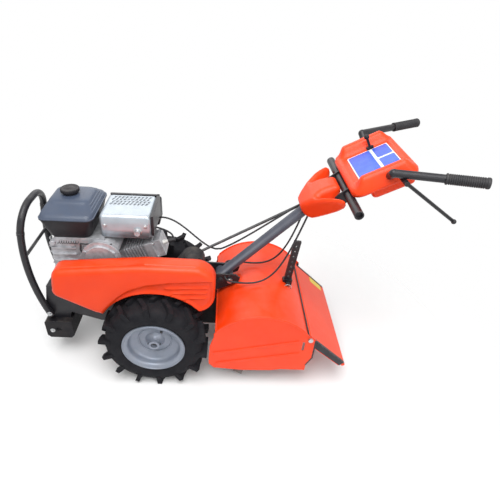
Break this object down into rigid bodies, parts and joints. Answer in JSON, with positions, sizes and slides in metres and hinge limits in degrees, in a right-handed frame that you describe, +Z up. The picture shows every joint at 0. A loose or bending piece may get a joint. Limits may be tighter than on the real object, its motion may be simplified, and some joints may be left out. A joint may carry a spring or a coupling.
{
  "type": "rotary tiller",
  "caption": "Walk-behind rear-tine rotary tiller with engine over two lugged wheels, belt guard, hooded tine reel, hinged levelling flap, depth stake and sloping handle.",
  "frame": {"origin": "centre of the bounding box on the floor", "axes": "+X forward, +Y to the operator's left, +Z up"},
  "size_m": [1.4561, 0.5548, 0.9504],
  "materials": {
    "orange_paint": "gloss orange-red paint",
    "orange_plastic": "moulded in orange-red, semi-gloss",
    "black_paint": "satin black paint",
    "black_iron": "black painted casting",
    "black_plastic": "matte black",
    "black_rubber": "matte",
    "tyre": "matte rubber",
    "rim_silver": "silver-grey paint",
    "steel": "zinc plated",
    "tine_steel": "black painted spring steel",
    "alloy": "cast",
    "tank_blue": "dark blue-grey gloss",
    "bright_shield": "bright pressed sheet"
  },
  "bodies": {
    "chassis": {"gear_case": "black_iron", "engine_frame": "black_paint", "front_weight": "black_iron", "bumper": "black_paint", "belt_guard": "orange_plastic", "engine_pulley": "steel", "drive_pulley": "steel", "drive_belt": "black_rubber", "crankcase": "alloy", "side_cover": "alloy", "engine_cylinder": "alloy", "fan_housing": "black_plastic", "recoil_starter": "black_plastic", "fuel_tank": "tank_blue", "fuel_cap": "black_plastic", "muffler": "alloy", "heat_shield": "bright_shield", "air_cleaner": "black_plastic", "wheel_axle": "steel", "tine_hood": "orange_paint", "side_shield_left": "orange_paint", "side_shield_right": "orange_paint", "flap_rod": "steel", "stake_bracket": "black_paint", "column_bracket": "black_paint", "control_cables": "black_rubber"},
    "wheel_left": {"rim_left": "rim_silver", "tyre_left": "tyre"},
    "wheel_right": {"rim_right": "rim_silver", "tyre_right": "tyre"},
    "tine_reel": {"tine_shaft": "steel", "tines_left": "tine_steel", "tines_right": "tine_steel"},
    "flap": {"levelling_flap": "orange_paint"},
    "stake": {"depth_stake": "black_paint"},
    "handle": {"handle_column": "black_paint", "clamp_bolt": "steel", "console_shroud": "orange_plastic", "console_panel": "orange_plastic", "cross_bar": "black_paint", "handlebar_left": "black_paint", "handlebar_right": "black_paint", "grip_left": "black_rubber", "grip_right": "black_rubber", "lever_left": "black_paint", "lever_right": "black_paint", "throttle_lever": "black_plastic", "shift_rod": "steel"}
  },
  "joints": [
    {"name": "left_wheel", "type": "hinge", "parent": "chassis", "child": "wheel_left", "pos_m": [0.248, 0.197, 0.203], "axis": [0, 1, 0], "continuous": true},
    {"name": "right_wheel", "type": "hinge", "parent": "chassis", "child": "wheel_right", "pos_m": [0.248, -0.197, 0.203], "axis": [0, 1, 0], "continuous": true},
    {"name": "tine_rotor", "type": "hinge", "parent": "chassis", "child": "tine_reel", "pos_m": [-0.152, 0, 0.176], "axis": [0, 1, 0], "continuous": true},
    {"name": "flap_lift", "type": "hinge", "parent": "chassis", "child": "flap", "pos_m": [-0.335, 0, 0.267], "axis": [0, 1, 0], "range_deg": [0, 75]},
    {"name": "stake_slide", "type": "slide", "parent": "chassis", "child": "stake", "axis": [-0.0872, 0, 0.9962], "range_m": [0, 0.072]},
    {"name": "handle_tilt", "type": "hinge", "parent": "chassis", "child": "handle", "pos_m": [0.007, 0, 0.37], "axis": [0, 1, 0], "range_deg": [-4, 12], "deforming": ["control_cables"]}
  ]
}
